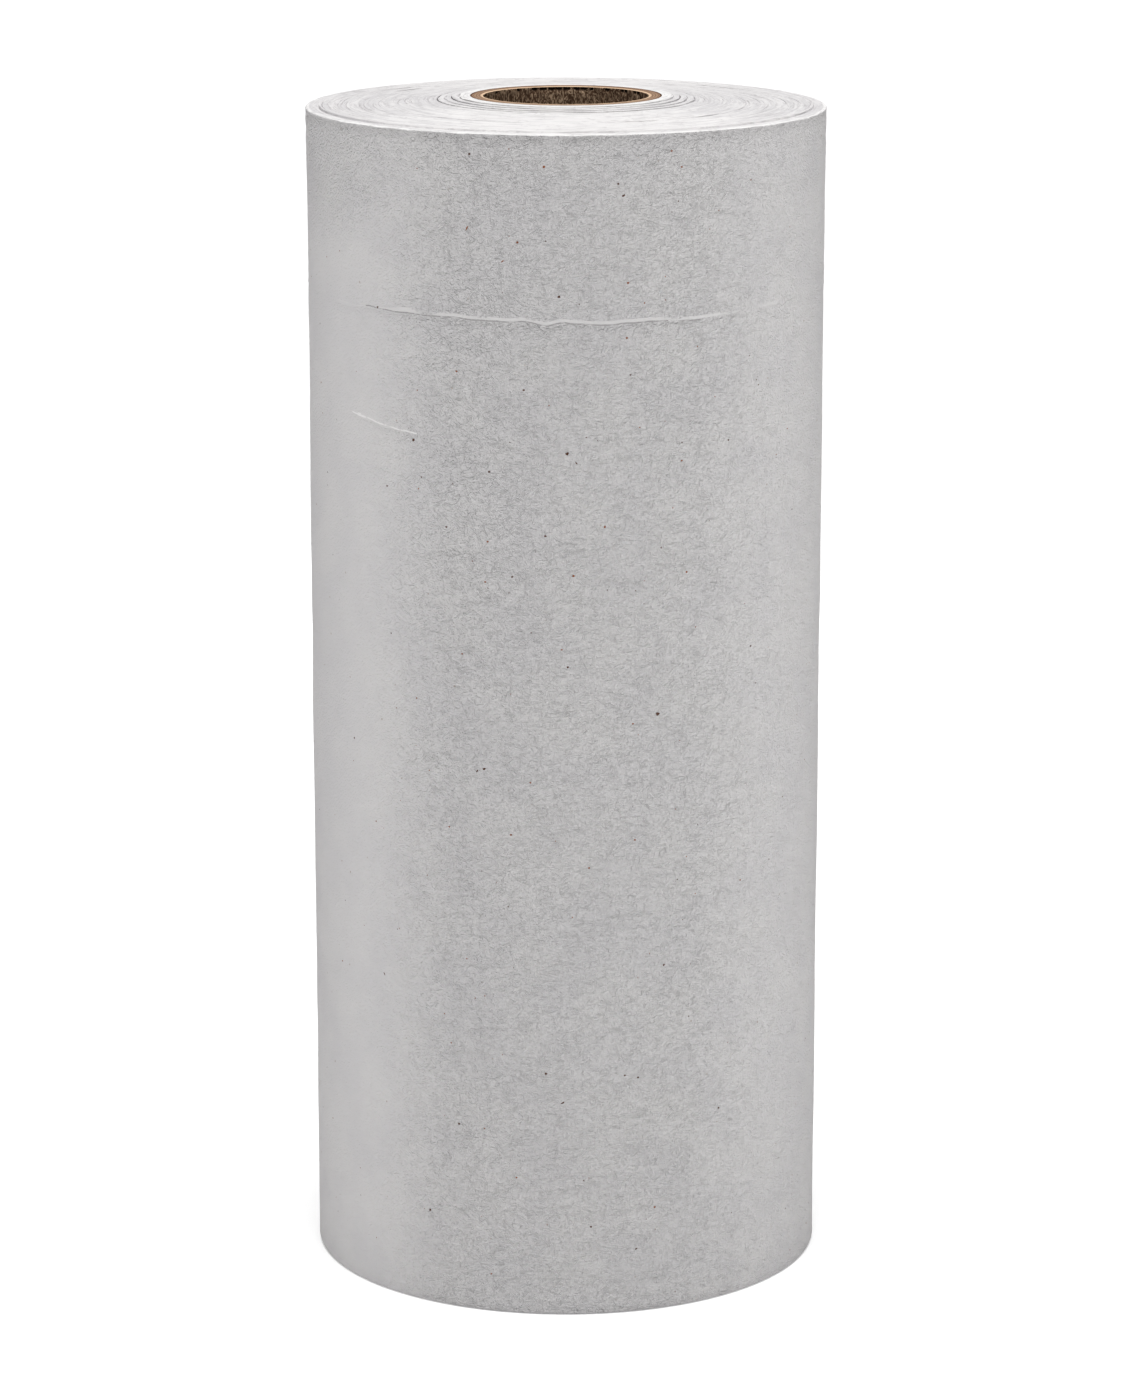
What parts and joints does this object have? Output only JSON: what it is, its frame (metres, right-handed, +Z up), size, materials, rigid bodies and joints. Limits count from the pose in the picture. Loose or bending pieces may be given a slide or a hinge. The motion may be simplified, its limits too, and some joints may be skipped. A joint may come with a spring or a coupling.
{
  "type": "marker paper roll",
  "caption": "Full roll of light grey-white paper wound on a cardboard core, standing on its end. The core's bore takes a spindle or roll holder.",
  "frame": {"origin": "on the core's axis, at the level that the roll stands on", "axes": "+Z up along the core, from the standing end to the upper end"},
  "size_m": [0.2399, 0.24, 0.55],
  "materials": {
    "paper": "matt",
    "core_board": "matt"
  },
  "bodies": {
    "root": {"core_tube": "core_board", "paper_roll": "paper"}
  },
  "joints": []
}
